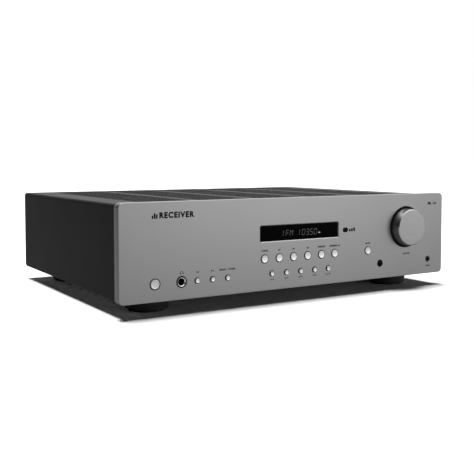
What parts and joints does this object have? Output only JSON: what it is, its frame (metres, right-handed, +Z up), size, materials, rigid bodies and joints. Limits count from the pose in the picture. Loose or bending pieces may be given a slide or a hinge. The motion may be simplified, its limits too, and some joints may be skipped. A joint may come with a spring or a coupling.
{
  "type": "stereo receiver",
  "caption": "Full-width hi-fi stereo receiver: grey aluminium front with large volume knob, push buttons and display, black slotted steel case, rear sockets.",
  "frame": {"origin": "on the surface the feet stand on, under the middle of the receiver's overall box", "axes": "+X to the right as the user faces the front, +Y back through the case (the front faces -Y), +Z up"},
  "size_m": [0.43, 0.341, 0.113],
  "materials": {
    "panel_aluminium": "fine bead-blasted, lunar grey anodised",
    "button_aluminium": "bright satin",
    "knob_aluminium": "turned, grey anodised, bright chamfer",
    "black_steel": "fine-textured satin black powder coat",
    "zinc_steel": "zinc-plated sheet steel",
    "black_plastic": "matt black moulding",
    "display_black": "smoked gloss",
    "board_green": "solder-masked circuit board",
    "heat_sink_black": "black anodised extrusion",
    "transformer_wrap": "steel core and copper windings under polyester tape",
    "capacitor_sleeve": "shrink sleeve",
    "tinned_steel": "tin-plated",
    "ribbon_grey": "flat grey cable",
    "rubber": "moulded black foot with a soft sole",
    "red_plastic": "red screw cap",
    "cap_black": "black screw cap"
  },
  "bodies": {
    "case": {"front_panel": "panel_aluminium", "top_cover": "black_steel", "rear_panel": "black_steel", "cover_screw_left": "black_steel", "cover_screw_right": "black_steel", "chassis_tray": "zinc_steel", "transformer_clamp": "zinc_steel", "volume_encoder": "zinc_steel", "fascia_frame": "black_plastic", "knob_surround": "black_plastic", "headphone_jack": "black_plastic", "aux_jack": "black_plastic", "phono_socket_block": "black_plastic", "speaker_terminal_block": "black_plastic", "antenna_block": "black_plastic", "mains_inlet": "black_plastic", "display_window": "display_black", "display_module": "display_black", "ir_window": "display_black", "control_board": "board_green", "amplifier_board": "board_green", "main_board": "board_green", "heat_sink": "heat_sink_black", "toroidal_transformer": "transformer_wrap", "reservoir_capacitor_1": "capacitor_sleeve", "reservoir_capacitor_2": "capacitor_sleeve", "tuner_module": "tinned_steel", "ribbon_cable": "ribbon_grey", "foot_front_left": "rubber", "foot_front_right": "rubber", "foot_rear_left": "rubber", "foot_rear_right": "rubber"},
    "power_button": {"power_button": "button_aluminium"},
    "tuning_down_button": {"tuning_down_button": "button_aluminium"},
    "tuning_up_button": {"tuning_up_button": "button_aluminium"},
    "mode_button": {"mode_button": "button_aluminium"},
    "source_button_1": {"source_button_1": "button_aluminium"},
    "source_button_2": {"source_button_2": "button_aluminium"},
    "source_button_3": {"source_button_3": "button_aluminium"},
    "source_button_4": {"source_button_4": "button_aluminium"},
    "source_button_5": {"source_button_5": "button_aluminium"},
    "source_button_6": {"source_button_6": "button_aluminium"},
    "preset_button_1": {"preset_button_1": "button_aluminium"},
    "preset_button_2": {"preset_button_2": "button_aluminium"},
    "preset_button_3": {"preset_button_3": "button_aluminium"},
    "preset_button_4": {"preset_button_4": "button_aluminium"},
    "preset_button_5": {"preset_button_5": "button_aluminium"},
    "mute_button": {"mute_button": "button_aluminium"},
    "knob": {"volume_knob": "knob_aluminium", "volume_shaft": "zinc_steel"},
    "mains_rocker": {"mains_rocker": "black_plastic"},
    "speaker_cap_1": {"speaker_cap_1": "cap_black"},
    "speaker_cap_2": {"speaker_cap_2": "red_plastic"},
    "speaker_cap_3": {"speaker_cap_3": "cap_black"},
    "speaker_cap_4": {"speaker_cap_4": "red_plastic"},
    "speaker_cap_5": {"speaker_cap_5": "cap_black"},
    "speaker_cap_6": {"speaker_cap_6": "red_plastic"},
    "speaker_cap_7": {"speaker_cap_7": "cap_black"},
    "speaker_cap_8": {"speaker_cap_8": "red_plastic"},
    "ground_terminal": {"ground_terminal": "tinned_steel"}
  },
  "joints": [
    {"name": "power_button_press", "type": "slide", "parent": "case", "child": "power_button", "axis": [0, 1, 0], "range_m": [0, 0.0008], "stiffness_N_per_m": 400},
    {"name": "tuning_down_button_press", "type": "slide", "parent": "case", "child": "tuning_down_button", "axis": [0, 1, 0], "range_m": [0, 0.0008], "stiffness_N_per_m": 400},
    {"name": "tuning_up_button_press", "type": "slide", "parent": "case", "child": "tuning_up_button", "axis": [0, 1, 0], "range_m": [0, 0.0008], "stiffness_N_per_m": 400},
    {"name": "mode_button_press", "type": "slide", "parent": "case", "child": "mode_button", "axis": [0, 1, 0], "range_m": [0, 0.0008], "stiffness_N_per_m": 400},
    {"name": "source_button_1_press", "type": "slide", "parent": "case", "child": "source_button_1", "axis": [0, 1, 0], "range_m": [0, 0.0008], "stiffness_N_per_m": 400},
    {"name": "source_button_2_press", "type": "slide", "parent": "case", "child": "source_button_2", "axis": [0, 1, 0], "range_m": [0, 0.0008], "stiffness_N_per_m": 400},
    {"name": "source_button_3_press", "type": "slide", "parent": "case", "child": "source_button_3", "axis": [0, 1, 0], "range_m": [0, 0.0008], "stiffness_N_per_m": 400},
    {"name": "source_button_4_press", "type": "slide", "parent": "case", "child": "source_button_4", "axis": [0, 1, 0], "range_m": [0, 0.0008], "stiffness_N_per_m": 400},
    {"name": "source_button_5_press", "type": "slide", "parent": "case", "child": "source_button_5", "axis": [0, 1, 0], "range_m": [0, 0.0008], "stiffness_N_per_m": 400},
    {"name": "source_button_6_press", "type": "slide", "parent": "case", "child": "source_button_6", "axis": [0, 1, 0], "range_m": [0, 0.0008], "stiffness_N_per_m": 400},
    {"name": "preset_button_1_press", "type": "slide", "parent": "case", "child": "preset_button_1", "axis": [0, 1, 0], "range_m": [0, 0.0008], "stiffness_N_per_m": 400},
    {"name": "preset_button_2_press", "type": "slide", "parent": "case", "child": "preset_button_2", "axis": [0, 1, 0], "range_m": [0, 0.0008], "stiffness_N_per_m": 400},
    {"name": "preset_button_3_press", "type": "slide", "parent": "case", "child": "preset_button_3", "axis": [0, 1, 0], "range_m": [0, 0.0008], "stiffness_N_per_m": 400},
    {"name": "preset_button_4_press", "type": "slide", "parent": "case", "child": "preset_button_4", "axis": [0, 1, 0], "range_m": [0, 0.0008], "stiffness_N_per_m": 400},
    {"name": "preset_button_5_press", "type": "slide", "parent": "case", "child": "preset_button_5", "axis": [0, 1, 0], "range_m": [0, 0.0008], "stiffness_N_per_m": 400},
    {"name": "mute_button_press", "type": "slide", "parent": "case", "child": "mute_button", "axis": [0, 1, 0], "range_m": [0, 0.0008], "stiffness_N_per_m": 400},
    {"name": "volume_turn", "type": "hinge", "parent": "case", "child": "knob", "pos_m": [0.1542, -0.1595, 0.0738], "axis": [0, 1, 0], "continuous": true},
    {"name": "mains_rocker_tip", "type": "hinge", "parent": "case", "child": "mains_rocker", "pos_m": [-0.1492, 0.1557, 0.044], "axis": [0, 0, 1], "range_deg": [0, 24]},
    {"name": "speaker_cap_1_turn", "type": "hinge", "parent": "case", "child": "speaker_cap_1", "pos_m": [-0.09875, 0.1599, 0.044], "axis": [0, 1, 0], "range_deg": [0, 1080]},
    {"name": "speaker_cap_2_turn", "type": "hinge", "parent": "case", "child": "speaker_cap_2", "pos_m": [-0.07425, 0.1599, 0.044], "axis": [0, 1, 0], "range_deg": [0, 1080]},
    {"name": "speaker_cap_3_turn", "type": "hinge", "parent": "case", "child": "speaker_cap_3", "pos_m": [-0.04975, 0.1599, 0.044], "axis": [0, 1, 0], "range_deg": [0, 1080]},
    {"name": "speaker_cap_4_turn", "type": "hinge", "parent": "case", "child": "speaker_cap_4", "pos_m": [-0.02525, 0.1599, 0.044], "axis": [0, 1, 0], "range_deg": [0, 1080]},
    {"name": "speaker_cap_5_turn", "type": "hinge", "parent": "case", "child": "speaker_cap_5", "pos_m": [-0.09875, 0.1599, 0.068], "axis": [0, 1, 0], "range_deg": [0, 1080]},
    {"name": "speaker_cap_6_turn", "type": "hinge", "parent": "case", "child": "speaker_cap_6", "pos_m": [-0.07425, 0.1599, 0.068], "axis": [0, 1, 0], "range_deg": [0, 1080]},
    {"name": "speaker_cap_7_turn", "type": "hinge", "parent": "case", "child": "speaker_cap_7", "pos_m": [-0.04975, 0.1599, 0.068], "axis": [0, 1, 0], "range_deg": [0, 1080]},
    {"name": "speaker_cap_8_turn", "type": "hinge", "parent": "case", "child": "speaker_cap_8", "pos_m": [-0.02525, 0.1599, 0.068], "axis": [0, 1, 0], "range_deg": [0, 1080]},
    {"name": "ground_terminal_turn", "type": "hinge", "parent": "case", "child": "ground_terminal", "pos_m": [0.176, 0.1572, 0.048], "axis": [0, 1, 0], "range_deg": [0, 720]}
  ]
}
